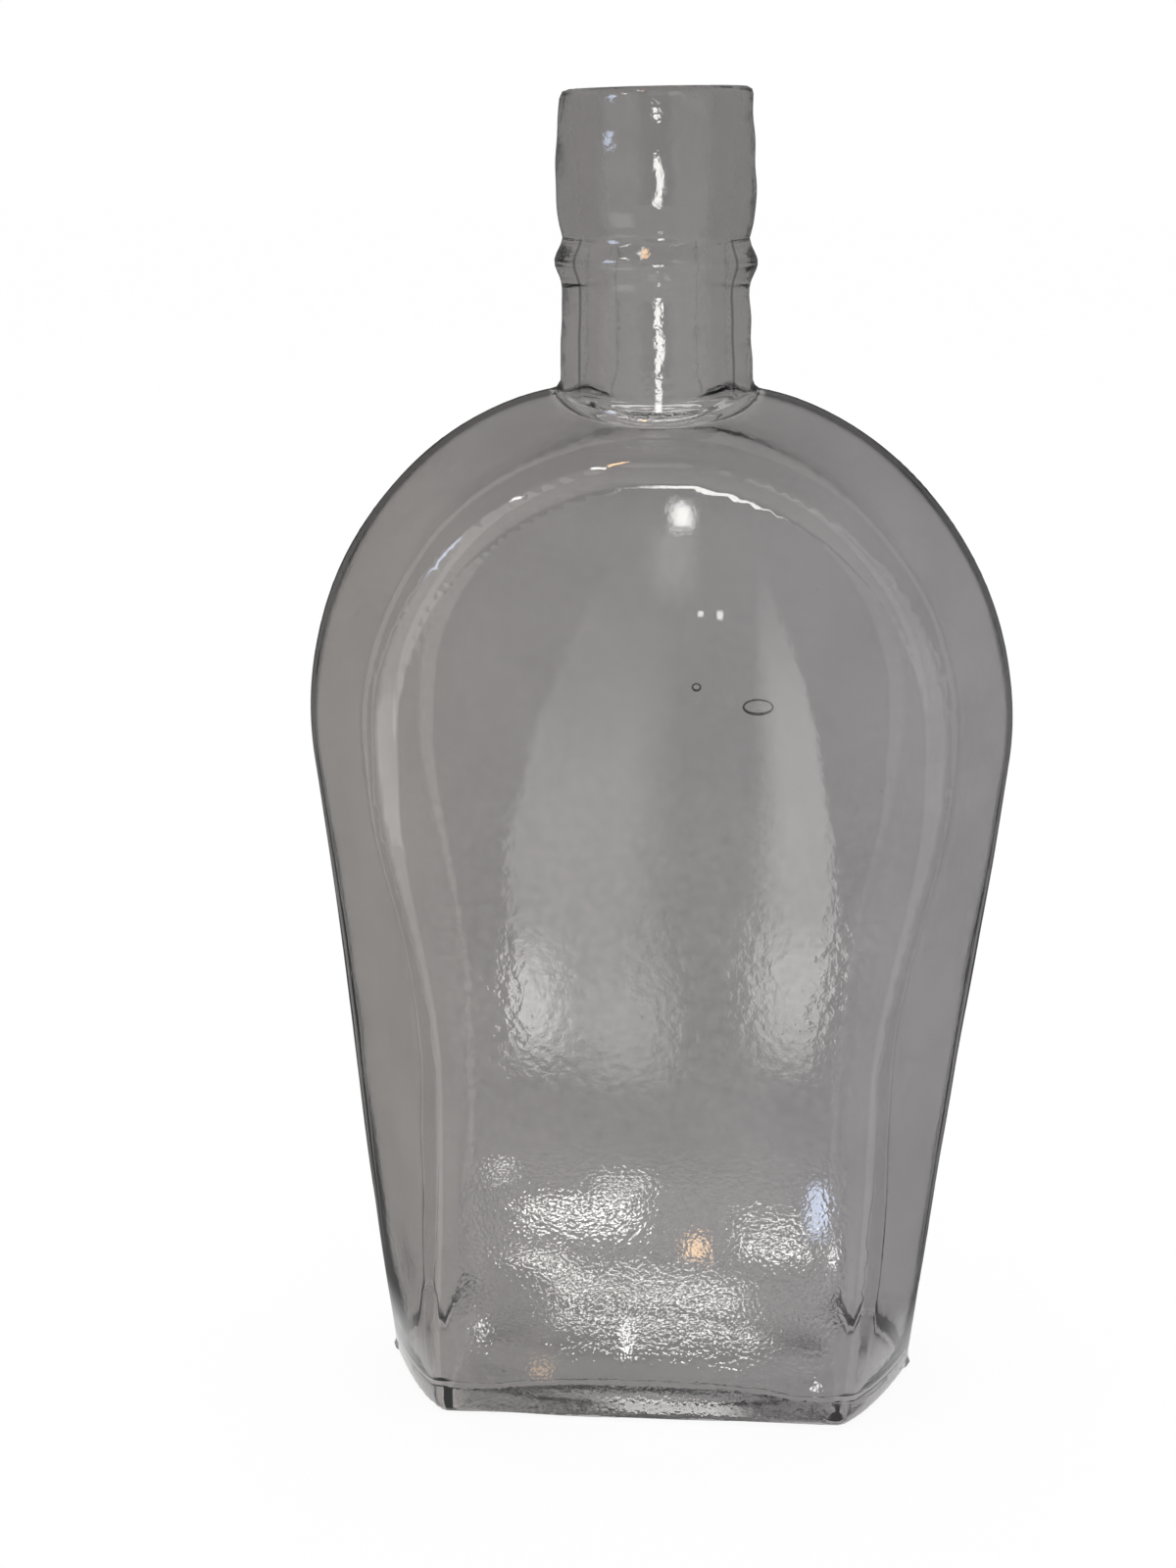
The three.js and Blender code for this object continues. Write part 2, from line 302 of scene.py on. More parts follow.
def hollow_field(points, wall=PANEL_WALL, detail=True):
    """Negative in the air inside the flask."""
    x, y, z = blown_place(points)
    if detail:
        for height, length, seed in WALL_WAVES:
            wall = wall + height * ripples(points, length, seed)
    depth = np.sqrt(y * y + INNER_SEAM_ROUND**2) - INNER_SEAM_ROUND + wall
    floor = FLOOR_EDGE + oval_rise(x, y, FLOOR_HALF, FLOOR_DOME) - z
    section = section_field(x, z, depth, INNER_SEAM_EDGE, INNER_EDGE_ROUND, INNER_EDGE_ROUND)
    hollow = smooth_max(section, floor, INNER_ROUND)
    bore = np.maximum(np.hypot(x, y) - bore_radius(z), SHOULDER_HEIGHT - z)
    return smooth_min(hollow, bore, THROAT_ROUND)


def net_field(points):
    """Negative inside the glass, with a wall thick enough for the grid to part its two skins."""
    return smooth_max(outside_field(points, False), -hollow_field(points, NET_WALL, False), RIM_ROUND)


def rim_field(points):
    return smooth_max(outside_field(points), -hollow_field(points), RIM_ROUND)


def gradient(field, points):
    reach = 0.02
    steps = np.eye(3) * reach
    return np.stack([(field(points + step) - field(points - step)) / (2 * reach) for step in steps], axis=1)


def surface_net(field, low, high, step):
    """Quads round every grid edge that crosses the zero level, one point in each cell they pass."""
    counts = np.ceil((high - low) / step).astype(int) + 1
    axes = [low[i] + step * np.arange(counts[i]) for i in range(3)]
    grid = np.stack(np.meshgrid(*axes, indexing="ij"), axis=-1).reshape(-1, 3)
    value = field(grid).reshape(counts)
    inside = value < 0
    corners = [
        inside[i : counts[0] - 1 + i, j : counts[1] - 1 + j, k : counts[2] - 1 + k]
        for i in (0, 1)
        for j in (0, 1)
        for k in (0, 1)
    ]
    filled = sum(corner.astype(int) for corner in corners)
    crossed = (filled > 0) & (filled < 8)
    number = np.full(crossed.shape, -1)
    number[crossed] = np.arange(crossed.sum())
    points = low + (np.argwhere(crossed) + 0.5) * step
    quads = []
    for axis in range(3):
        b, c = (axis + 1) % 3, (axis + 2) % 3
        ends = [[slice(1, -1)] * 3 for _ in range(2)]
        ends[0][axis], ends[1][axis] = slice(0, -1), slice(1, None)
        start, stop = inside[tuple(ends[0])], inside[tuple(ends[1])]
        for leaving in (True, False):
            cells = np.argwhere((start != stop) & (start == leaving))
            cells[:, b] += 1
            cells[:, c] += 1
            ring = []
            for db, dc in ((1, 1), (0, 1), (0, 0), (1, 0)):
                cell = cells.copy()
                cell[:, b] -= db
                cell[:, c] -= dc
                ring.append(number[cell[:, 0], cell[:, 1], cell[:, 2]])
            quads.append(np.stack(ring if leaving else ring[::-1], axis=1))
    return points, np.concatenate(quads)


def settle(field, points, steps):
    """Moves points onto the zero level of a field."""
    for _ in range(steps):
        slope = gradient(field, points)
        steep = np.maximum((slope**2).sum(axis=1), MIN_STEEPNESS)
        move = -(field(points) / steep)[:, None] * slope
        length = np.linalg.norm(move, axis=1, keepdims=True)
        points = points + move * np.minimum(1, GRID_STEP / np.maximum(length, 1e-9))
    return points


def neighbour_middles(points, quads):
    """The mean of the points that share an edge with each point."""
    starts = quads.ravel()
    stops = np.roll(quads, 1, axis=1).ravel()
    ends, others = np.concatenate([starts, stops]), np.concatenate([stops, starts])
    total = np.stack([np.bincount(ends, points[others, i], len(points)) for i in range(3)], axis=1)
    return total / np.bincount(ends, minlength=len(points))[:, None]


def glass_mesh():
    """Nets both skins of the wall, then settles each on its own field and the rim on both."""
    margin = GRID_MARGIN * GRID_STEP
    low = np.array([-SHOULDER_RADIUS - margin, -HALF_DEPTH - margin, -margin])
    high = np.array([SHOULDER_RADIUS + margin, HALF_DEPTH + margin, RIM_Z + margin])
    points, quads = surface_net(net_field, low, high, GRID_STEP)
    normals = np.zeros_like(points)
    at_rim = points[:, 2] > RIM_Z - RIM_BAND
    is_inner = np.abs(hollow_field(points, NET_WALL, False)) < np.abs(outside_field(points, False))
    skins = (
        (rim_field, at_rim),
        (lambda place: -hollow_field(place), is_inner & ~at_rim),
        (outside_field, ~is_inner & ~at_rim),
    )
    for field, chosen in skins:
        points[chosen] = settle(field, points[chosen], PROJECT_STEPS)
    for _ in range(RELAX_ROUNDS):
        points = points + RELAX_SHARE * (neighbour_middles(points, quads) - points)
        for field, chosen in skins:
            points[chosen] = settle(field, points[chosen], RELAX_STEPS)
    for field, chosen in skins:
        slope = gradient(field, points[chosen])
        normals[chosen] = slope / np.linalg.norm(slope, axis=1, keepdims=True)
    return points, quads, normals, ~is_inner


def seed_shells():
    """Shells of trapped air in the front wall: closed, and facing into the air as the glass does."""
    builder = bmesh.new()
    bmesh.ops.create_icosphere(builder, subdivisions=3, radius=1)
    sphere = np.array([vertex.co[:] for vertex in builder.verts])
    faces = np.array([[vertex.index for vertex in face.verts][::-1] for face in builder.faces])
    builder.free()
    points, normals, triangles = [], [], []
    for count, (x, z, half_wide, half_high, half_thick) in enumerate(SEEDS):
        half = np.array([half_wide, half_thick, half_high])
        points.append(sphere * half + np.array([x, PANEL_WALL / 2 - HALF_DEPTH, z]))
        inward = -sphere / half
        normals.append(inward / np.linalg.norm(inward, axis=1, keepdims=True))
        triangles.append(faces + count * len(sphere))
    return np.concatenate(points), np.concatenate(triangles), np.concatenate(normals)


# The glass has its colour on the outer skin alone, so that light is dimmed alike through a thin wall and
# through the solid glass of neck and foot. Shares of that tint follow how the glass was stretched: the
# panels are thicker than the ridge round them. Other shares are painted light and shade: a painted
# highlight on the ridge, a painted highlight line and paler paint low on the base's front, and painted
# shade on the shoulders' top, along the seams and the bore's edges, and where a skin stands edge on. The
# painted seam shade lines, the specks and the faint clouds and mottle are on the inner skin too.
OUTER_TINT = np.array([0.283, 0.270, 0.267])
SIDE_HUE = np.array([0.0, 0.012, 0.045])  # the left half is warmer and the right half cooler
PANEL_SHARE = 0.81
# Painted highlight: the ridge round the panels is painted paler, most on the left where the light falls on
# it.
RIDGE_PAINTED_HIGHLIGHT = (0.28, 0.06)  # how much paler the ridge is, on the left and on the right
RIDGE_HIGHLIGHT_SPAN = (-0.5, 0.5)  # shares of the half width between which it changes
# Painted shade: dark lines along the mould seams, on both skins, where the glass stands edge on.
SEAM_SHADE_SHARE = 0.25
SEAM_WIDTH = 0.6
SEAM_TOP_WIDTH = 1.3
SEAM_SWELL_Z = (60.0, 120.0)  # the line widens over these heights
SEAM_HALF_DEPTH = 3.5
INNER_SEAM_REACH = 0.4
INNER_SEAM_DEPTH = (2.0, 5.0)  # the inner seam fades out between these depths from the outline
# Painted light: the front of the base below the floor's line is painted paler, and that line gets a painted
# highlight.
FOOT_PAINTED_LIGHT = 1.25  # the front of the base, where the eye looks into the thick floor
FOOT_LINE_HIGHLIGHT = 0.35  # how much paler the line along the top of that floor is
FOOT_ARCH = (-4.0, 21.0, 0.6, 3.2)  # middle, half width, height at the ends and rise of that line
FOOT_SIDE_LINE = 0.9  # its height round the sides of the base
FOOT_FRONT_Y = (12.0, 16.0)  # depths between the sides and the front of the base
# Painted shade: the outer skin is painted darker where it turns edge on.
GRAZING_SHADE_SHARE = 0.35
SPECK_SHARE = 0.55
NECK_Z = SHOULDER_HEIGHT + SHOULDER_RADIUS - 3.0  # where the neck leaves the body
NECK_CLEAR = 1.5  # a place on the body stands this far off the neck
THROAT_CLEAR = (8.0, 100.0)  # and one clear of the throat stands this far off it or below this height
NECK_DIM = 0.16  # how much darker the thick neck is
NECK_DIM_Z = (127.0, 132.0)
COLLAR_DIM = 0.08
COLLAR_DIM_Z = (COLLAR_Z - 1.0, COLLAR_Z + 1.0)
# Painted shade: the top of the shoulders is painted darker.
SHOULDER_SHADE = 0.17
SHOULDER_SHADE_Z = (112.0, 122.0, 127.0, 132.0)  # fades in, full, full, faded out
FOLD_REACH = 2.5  # where the neck meets the body, light crosses the skin twice more
FOLD_GLOW = 0.5
FOLD_CLEAR = 6.0  # no dark edge is drawn within this height of that fold
BORE_SHADE_SHARE = 0.28  # painted shade: two dark lines down the neck stand for the edges of the bore seen through it
BORE_LINE = math.radians(52)
FAR = 50.0  # stands for a place that a layer doesn't reach
FLOOR_SKIN = 0.35  # a place this near the underside, and this far in from the heel, is beneath the flask
HEEL_INSET = 1.0
EDGE_FADE = (8.0, 18.0)  # heights over which the painted dark edges begin
HAMMERED_Z = (40.0, 46.0, 62.0, 70.0)  # the hammered band of the panel: fades in, full, full, faded out
GRAIN_Z = (30.0, 40.0)  # grain is full below the first height and gone above the second
MOTTLE = (0.15, 0.2, 0.25)  # everywhere, low on the panel and in the hammered band
MOTTLE_Z = (68.0, 88.0)  # full below the first height
PANEL_INSIDE = (-1.0, -3.0)  # how far in from its edge the panel's own texture begins and is full
HAMMERED_PEEL = 0.6
NECK_PEEL = 0.75
NECK_PEEL_Z = (128.0, 132.0)
GRAIN = 1.5


def fade(value, start, stop):
    """0 at start and 1 at stop, with a smooth change between them."""
    return smoothstep((value - start) / (stop - start))


def seam_shade_layer(x, y, z, is_outer):
    """Distance from the mould seam on either skin, in widths of the painted shade line along it."""
    off_neck = np.hypot(x, y) - NECK_RADIUS
    clear = is_outer | (off_neck > THROAT_CLEAR[0]) | (z < THROAT_CLEAR[1])
    inset = seam_depth(x, z)
    width = SEAM_WIDTH + (SEAM_TOP_WIDTH - SEAM_WIDTH) * fade(z, *SEAM_SWELL_Z)
    outer = np.maximum(inset / width, np.abs(y) / SEAM_HALF_DEPTH)
    start, stop = INNER_SEAM_DEPTH
    inner = np.maximum(np.abs(y) * INNER_SEAM_REACH / SEAM_WIDTH, (inset - start) / (stop - start))
    inner = inner + 1 - fade(z, *EDGE_FADE)
    return np.where((off_neck > NECK_CLEAR) & clear, np.where(is_outer, outer, inner), FAR)


def foot_paint_layer(x, y, z, is_outer):
    """Height above the painted highlight line along the top of the thick floor."""
    middle, half, low, rise = FOOT_ARCH
    arch = low + rise * np.maximum(1 - ((x - middle) / half) ** 2, 0.0)
    arch = FOOT_SIDE_LINE + (arch - FOOT_SIDE_LINE) * fade(np.abs(y), *FOOT_FRONT_Y)
    under = z - oval_rise(x, y, KICK_HALF, KICK_UP) < FLOOR_SKIN
    beneath = under & (section_field(x, z, np.abs(y), SEAM_ROUND) < -HEEL_INSET)
    return np.where(is_outer & ~beneath, z - arch, FAR)


def tint_layer(x, y, z, is_outer):
    """Colour of the outer skin: darker where the glass is thick, painted shade on the shoulders' top, paler
    in the fold round the neck.
    """
    across = np.clip(x / SHOULDER_RADIUS, -1, 1)
    start, low, high, stop = SHOULDER_SHADE_Z
    # Neck and collar are darker where the glass is thick; the shoulders' top gets painted shade.
    thick_and_shade = NECK_DIM * fade(z, *NECK_DIM_Z) + COLLAR_DIM * fade(z, *COLLAR_DIM_Z)
    thick_and_shade = thick_and_shade + SHOULDER_SHADE * fade(z, start, low) * fade(z, stop, high)
    off_body = np.abs(section_field(x, z, np.abs(y), SEAM_ROUND))
    off_neck = np.abs(np.hypot(x, y) - neck_radius(z))
    fold = fade(np.maximum(off_body, off_neck), FOLD_REACH, 0)
    tint = OUTER_TINT * (1 + SIDE_HUE * across[:, None]) * (1 - thick_and_shade + FOLD_GLOW * fold)[:, None]
    return np.where(is_outer[:, None], tint, 1.0)


def skin_layers(points, is_outer):
    """Values that the glass material reads at each point of the mesh."""
    x, y, z = blown_place(points)
    on_body = is_outer & ((np.hypot(x, y) > NECK_RADIUS + NECK_CLEAR) | (z < SHOULDER_HEIGHT))
    gap = np.where(on_body, panel_gap(x, z), FAR)
    # The ridge's painted highlight, strongest on the left.
    glow = RIDGE_PAINTED_HIGHLIGHT[0] + (RIDGE_PAINTED_HIGHLIGHT[1] - RIDGE_PAINTED_HIGHLIGHT[0]) * fade(x / SHOULDER_RADIUS, *RIDGE_HIGHLIGHT_SPAN)
    on_neck = is_outer & (z > NECK_Z) & (z < COLLAR_Z)
    # Two painted shade lines down the neck, at a fixed angle from front and back.
    bore_shade_line = (np.arctan2(np.abs(x), np.abs(y)) - BORE_LINE) * NECK_RADIUS
    on_panel = fade(gap, *PANEL_INSIDE)
    start, low, high, stop = HAMMERED_Z
    hammered = fade(z, start, low) * fade(z, stop, high) * on_panel
    plain, chilled, beaten = MOTTLE
    mottle = plain + chilled * fade(z, *MOTTLE_Z[::-1]) * on_panel + beaten * hammered
    # Where the painted shade at turned-away edges is drawn.
    shaded_edge_mask = is_outer & (np.abs(z - NECK_Z) > FOLD_CLEAR)
    return {
        "bore": np.where(on_neck, bore_shade_line, FAR),
        "edge": shaded_edge_mask * fade(z, *EDGE_FADE),
        "foot": foot_paint_layer(x, y, z, is_outer),
        "tint": tint_layer(x, y, z, is_outer),
        "gap": gap,
        "facet": np.where(on_body, gap - facet_width(z), FAR),
        "glow": np.where(on_body, glow, 0.0),
        "seam": seam_shade_layer(x, y, z, is_outer),
        "mottle": mottle,
        "peel": mottle + HAMMERED_PEEL * hammered + NECK_PEEL * fade(z, *NECK_PEEL_Z) * is_outer,
        "grain": GRAIN * fade(z, *GRAIN_Z[::-1]) * on_panel,
    }


def add_glass(name, material):
    points, quads, normals, is_outer = glass_mesh()
    layers = skin_layers(points, is_outer)
    seed_points, seed_triangles, seed_normals = seed_shells()
    seed_layers = skin_layers(seed_points, np.zeros(len(seed_points), bool))
    faces = quads.tolist() + (seed_triangles + len(points)).tolist()
    points = np.concatenate([points, seed_points])
    normals = np.concatenate([normals, seed_normals])
    mesh = bpy.data.meshes.new(name)
    mesh.from_pydata((points * MM).tolist(), [], faces)
    mesh.polygons.foreach_set("use_smooth", [True] * len(mesh.polygons))
    mesh.update()
    mesh.normals_split_custom_set_from_vertices(normals.tolist())
    for layer, values in layers.items():
        values = np.concatenate([values, seed_layers[layer]])
        if values.ndim == 2:
            data = mesh.attributes.new(layer, "FLOAT_COLOR", "POINT").data
            data.foreach_set("color", np.column_stack([values, np.ones(len(values))]).ravel())
        else:
            mesh.attributes.new(layer, "FLOAT", "POINT").data.foreach_set("value", values)
    mesh.materials.append(material)
    piece = bpy.data.objects.new(name, mesh)
    bpy.context.scene.collection.objects.link(piece)
    return piece


GLASS_ROUGHNESS = 0.04
GLASS_IOR = 1.5
SPECK_SCALE = 190
PEEL_NOISE = (800, 3)  # scale and detail
GRAIN_NOISE = (1900, 1)
CLOUD_NOISE = (70, 4)
BUMP_HEIGHT = 0.00006
CLOUD_RANGE = (0.3, 0.7, 0.95, 1.03)  # from these two values of the noise to these two shares of the tint
GRAZING_EDGE = (0.75, 0.97)  # how far a skin is turned away where its painted shade edge begins and is full
PANEL_EDGE = (-0.2, 0.2)  # where each tint begins and ends, in the values of its layer
FACET_EDGE = (-0.25, 0.25)
SEAM_SHADE_EDGE = (0.3, 1.0)
FOOT_EDGE = (-0.25, 0.05)
FOOT_LINE_HALF = 0.3
BORE_EDGE = (0.1, 0.4)
SPECK_EDGE = (0.015, 0.035)


def glass_material():
    material = bpy.data.materials.new("grey_lilac_glass")
    material.use_nodes = True
    nodes, links = material.node_tree.nodes, material.node_tree.links
    shader = nodes["Principled BSDF"]
    shader.inputs["Roughness"].default_value = GLASS_ROUGHNESS
    shader.inputs["IOR"].default_value = GLASS_IOR
    shader.inputs["Transmission Weight"].default_value = 1
    place = nodes.new("ShaderNodeTexCoord").outputs["Object"]

    def layer(name, output="Fac"):
        node = nodes.new("ShaderNodeAttribute")
        node.attribute_name = name
        return node.outputs[output]

    def ramp(value, start, stop, low, high):
        node = nodes.new("ShaderNodeMapRange")
        node.interpolation_type = "SMOOTHSTEP"
        for socket, number in zip(("From Min", "From Max", "To Min", "To Max"), (start, stop, low, high)):
            node.inputs[socket].default_value = number
        links.new(value, node.inputs["Value"])
        return node.outputs[0]

    def math_node(operation, *values):
        node = nodes.new("ShaderNodeMath")
        node.operation = operation
        for socket, value in zip(node.inputs, values):
            if isinstance(value, (int, float)):
                socket.default_value = value
            else:
                links.new(value, socket)
        return node.outputs[0]

    def noise(scale, detail):
        node = nodes.new("ShaderNodeTexNoise")
        node.inputs["Scale"].default_value = scale
        node.inputs["Detail"].default_value = detail
        links.new(place, node.inputs["Vector"])
        return node.outputs["Fac"]

    specks = nodes.new("ShaderNodeTexVoronoi")
    specks.inputs["Scale"].default_value = SPECK_SCALE
    links.new(place, specks.inputs["Vector"])
    # Painted shade where a skin turns edge on.
    facing = nodes.new("ShaderNodeLayerWeight")
    facing.inputs["Blend"].default_value = 0.5
    grazing_shade = ramp(facing.outputs["Facing"], *GRAZING_EDGE, 0, GRAZING_SHADE_SHARE - 1)
    gap = layer("gap")
    # Painted highlight on the band between the panel's edge and its facet's outer edge.
    ridge_highlight_mask = math_node("MULTIPLY", ramp(gap, *PANEL_EDGE, 0, 1), ramp(layer("facet"), *FACET_EDGE, 1, 0))
    peel_noise, grain_noise = noise(*PEEL_NOISE), noise(*GRAIN_NOISE)
    foot = layer("foot")
    # Painted highlight line along the top of the thick floor.
    line_low, line_high = ramp(foot, -FOOT_LINE_HALF, 0.0, 0, 1), ramp(foot, 0.0, FOOT_LINE_HALF, 1, 0)
    foot_line_highlight = math_node("MULTIPLY", line_low, line_high)
    mottle = math_node("MULTIPLY", math_node("SUBTRACT", peel_noise, 0.5), layer("mottle"))
    shares = (
        ramp(gap, *PANEL_EDGE, PANEL_SHARE, 1),
        math_node("MULTIPLY_ADD", ridge_highlight_mask, layer("glow"), 1.0),
        # Painted shade lines along the seams.
        ramp(layer("seam"), *SEAM_SHADE_EDGE, SEAM_SHADE_SHARE, 1),
        ramp(foot, *FOOT_EDGE, FOOT_PAINTED_LIGHT, 1),
        math_node("MULTIPLY_ADD", foot_line_highlight, FOOT_LINE_HIGHLIGHT, 1.0),
        ramp(specks.outputs["Distance"], *SPECK_EDGE, SPECK_SHARE, 1),
        ramp(noise(*CLOUD_NOISE), *CLOUD_RANGE),
        math_node("MULTIPLY_ADD", mottle, 1.0, 1.0),
        math_node("MULTIPLY_ADD", grazing_shade, layer("edge"), 1.0),
        # Painted shade lines for the bore's edges.
        ramp(math_node("ABSOLUTE", layer("bore")), *BORE_EDGE, BORE_SHADE_SHARE, 1),
    )
    total = shares[0]
    for share in shares[1:]:
        total = math_node("MULTIPLY", total, share)
    colour = nodes.new("ShaderNodeVectorMath")
    colour.operation = "SCALE"
    links.new(layer("tint", "Color"), colour.inputs[0])
    links.new(total, colour.inputs["Scale"])
    links.new(colour.outputs[0], shader.inputs["Base Color"])

    bump = nodes.new("ShaderNodeBump")
    bump.inputs["Distance"].default_value = BUMP_HEIGHT
    grain = math_node("MULTIPLY", grain_noise, layer("grain"))
    links.new(math_node("MULTIPLY_ADD", peel_noise, layer("peel"), grain), bump.inputs["Height"])
    links.new(bump.outputs["Normal"], shader.inputs["Normal"])
    return material


glass = add_glass("blown_glass_flask", glass_material())
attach(glass, "root")
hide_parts("flask_body", "lip_collar", "neck_ring")


# Camera, worked out from the photograph's perspective. The long side of the frame is 1600 pixels.
FRAME_WIDTH, FRAME_HEIGHT = 1200, 1600
AXIS_COLUMN = 671  # where the flask's axis stands in the frame
FOCAL_PIXELS = 2796
CAMERA_DISTANCE = 0.340
CAMERA_HEIGHT = 0.1572
CAMERA_AZIMUTH = math.radians(0)
CAMERA_PITCH = math.radians(12.986)
eye_point = Vector(
    (
        CAMERA_DISTANCE * math.sin(CAMERA_AZIMUTH),
        -CAMERA_DISTANCE * math.cos(CAMERA_AZIMUTH),
        CAMERA_HEIGHT,
    )
)


def add_camera():
    camera = bpy.data.cameras.new("camera")
    camera.sensor_width = 36
    camera.lens = camera.sensor_width * FOCAL_PIXELS / FRAME_HEIGHT
    eye = bpy.data.objects.new("camera", camera)
    eye.location = eye_point
    turn = math.atan((AXIS_COLUMN - FRAME_WIDTH / 2) / FOCAL_PIXELS)
    eye.rotation_euler = (math.pi / 2 - CAMERA_PITCH, 0, CAMERA_AZIMUTH + turn)
    bpy.context.scene.collection.objects.link(eye)
    bpy.context.scene.camera = eye


# Stage
FLOOR_COLOUR = (0.9, 0.9, 0.9, 1)
FLOOR_ROUGHNESS = 0.9
FLOOR_GLOW = 0.93  # share of the floor that shows as plain white, and the rest takes light and shadow
FLOOR_RADIUS = 8.0
FLOOR_DROP = 0.0004  # keeps the uneven underside of the glass clear of the floor
WORLD_LEVEL = 1.1
MIRRORED_LOW, MIRRORED_HIGH = 0.98, 0.1  # what reflections show of the world at the horizon and overhead
MIRRORED_TOP = 0.9


def white_stage_material():
    """White floor for the camera, reflections and glass, with a faint shadow from its lit share."""
    material = bpy.data.materials.new("studio_white")
    material.use_nodes = True
    nodes, links = material.node_tree.nodes, material.node_tree.links
    output = nodes["Material Output"]
    surface = nodes["Principled BSDF"]
    surface.inputs["Base Color"].default_value = FLOOR_COLOUR
    surface.inputs["Roughness"].default_value = FLOOR_ROUGHNESS
    glow = nodes.new("ShaderNodeEmission")
    glow.inputs["Strength"].default_value = 1.0
    path = nodes.new("ShaderNodeLightPath")
    seen = nodes.new("ShaderNodeMath")
    seen.operation = "ADD"
    also = nodes.new("ShaderNodeMath")
    also.operation = "ADD"
    also.use_clamp = True
    share = nodes.new("ShaderNodeMath")
    share.operation = "MULTIPLY"
    share.inputs[1].default_value = FLOOR_GLOW
    mix = nodes.new("ShaderNodeMixShader")
    links.new(path.outputs["Is Camera Ray"], seen.inputs[0])
    links.new(path.outputs["Is Glossy Ray"], seen.inputs[1])
    links.new(seen.outputs[0], also.inputs[0])
    links.new(path.outputs["Is Transmission Ray"], also.inputs[1])
    links.new(also.outputs[0], share.inputs[0])
    links.new(share.outputs[0], mix.inputs[0])
    links.new(surface.outputs[0], mix.inputs[1])
    links.new(glow.outputs[0], mix.inputs[2])
    links.new(mix.outputs[0], output.inputs["Surface"])
    return material


def add_floor():
    builder = bmesh.new()
    bmesh.ops.create_circle(builder, cap_ends=True, radius=FLOOR_RADIUS, segments=96)
    mesh = bpy.data.meshes.new("studio_floor")
    builder.to_mesh(mesh)
    builder.free()
    mesh.materials.append(white_stage_material())
    floor = bpy.data.objects.new("studio_floor", mesh)
    floor.location.z = -FLOOR_DROP
    bpy.context.scene.collection.objects.link(floor)


def set_world():
    world = bpy.data.worlds.new("studio")
    bpy.context.scene.world = world
    world.use_nodes = True
    nodes, links = world.node_tree.nodes, world.node_tree.links
    place = nodes.new("ShaderNodeTexCoord")
    parts = nodes.new("ShaderNodeSeparateXYZ")
    falloff = nodes.new("ShaderNodeMapRange")
    falloff.inputs["From Min"].default_value = 0.0
    falloff.inputs["From Max"].default_value = MIRRORED_TOP
    falloff.inputs["To Min"].default_value = MIRRORED_LOW
    falloff.inputs["To Max"].default_value = MIRRORED_HIGH
    path = nodes.new("ShaderNodeLightPath")
    shiny = nodes.new("ShaderNodeMix")
    shiny.inputs["A"].default_value = WORLD_LEVEL
    direct = nodes.new("ShaderNodeMath")
    direct.operation = "MAXIMUM"
    level = nodes.new("ShaderNodeMix")
    level.inputs["B"].default_value = 1.0
    links.new(place.outputs["Generated"], parts.inputs[0])
    links.new(parts.outputs["Z"], falloff.inputs["Value"])
    links.new(path.outputs["Is Glossy Ray"], shiny.inputs["Factor"])
    links.new(falloff.outputs[0], shiny.inputs["B"])
    links.new(path.outputs["Is Camera Ray"], direct.inputs[0])
    links.new(path.outputs["Is Transmission Ray"], direct.inputs[1])
    links.new(direct.outputs[0], level.inputs["Factor"])
    links.new(shiny.outputs["Result"], level.inputs["A"])
    links.new(level.outputs["Result"], nodes["Background"].inputs["Strength"])
    nodes["Background"].inputs["Color"].default_value = (1, 1, 1, 1)


def add_softbox(name, place, aim, size, power):
    light = bpy.data.lights.new(name, "AREA")
    light.shape = "RECTANGLE"
    light.size, light.size_y = size
    light.energy = power
    lamp = bpy.data.objects.new(name, light)
    lamp.location = place
    lamp.rotation_euler = (Vector(aim) - Vector(place)).to_track_quat("-Z", "Y").to_euler()
    lamp.visible_camera = False
    lamp.visible_glossy = False
    bpy.context.scene.collection.objects.link(lamp)


def card_material(name, colour, radiance, dim, soft):
    """Glows, or dims what is behind it, and fades out over a share of its size at each of its edges."""
    material = bpy.data.materials.new(name)
    material.use_nodes = True
    nodes, links = material.node_tree.nodes, material.node_tree.links
    nodes.remove(nodes["Principled BSDF"])
    place = nodes.new("ShaderNodeUVMap")
    parts = nodes.new("ShaderNodeSeparateXYZ")
    links.new(place.outputs[0], parts.inputs[0])
    level = None
    left, right, low, high = soft
    for axis, start, reach in (("X", 0, left), ("X", 1, -right), ("Y", 0, low), ("Y", 1, -high)):
        edge = nodes.new("ShaderNodeMapRange")
        edge.interpolation_type = "SMOOTHSTEP"
        edge.inputs["From Min"].default_value = start
        edge.inputs["From Max"].default_value = start + reach
        links.new(parts.outputs[axis], edge.inputs["Value"])
        if level is None:
            level = edge.outputs[0]
            continue
        product = nodes.new("ShaderNodeMath")
        product.operation = "MULTIPLY"
        links.new(level, product.inputs[0])
        links.new(edge.outputs[0], product.inputs[1])
        level = product.outputs[0]
    strength = nodes.new("ShaderNodeMath")
    strength.operation = "MULTIPLY"
    strength.inputs[1].default_value = radiance
    passed = nodes.new("ShaderNodeMath")
    passed.operation = "MULTIPLY_ADD"
    passed.inputs[1].default_value = -dim
    passed.inputs[2].default_value = 1.0
    glow = nodes.new("ShaderNodeEmission")
    glow.inputs["Color"].default_value = (*colour, 1)
    clear = nodes.new("ShaderNodeBsdfTransparent")
    both = nodes.new("ShaderNodeAddShader")
    links.new(level, strength.inputs[0])
    links.new(level, passed.inputs[0])
    links.new(strength.outputs[0], glow.inputs["Strength"])
    links.new(passed.outputs[0], clear.inputs["Color"])
    links.new(glow.outputs[0], both.inputs[0])
    links.new(clear.outputs[0], both.inputs[1])
    links.new(both.outputs[0], nodes["Material Output"].inputs["Surface"])
    return material


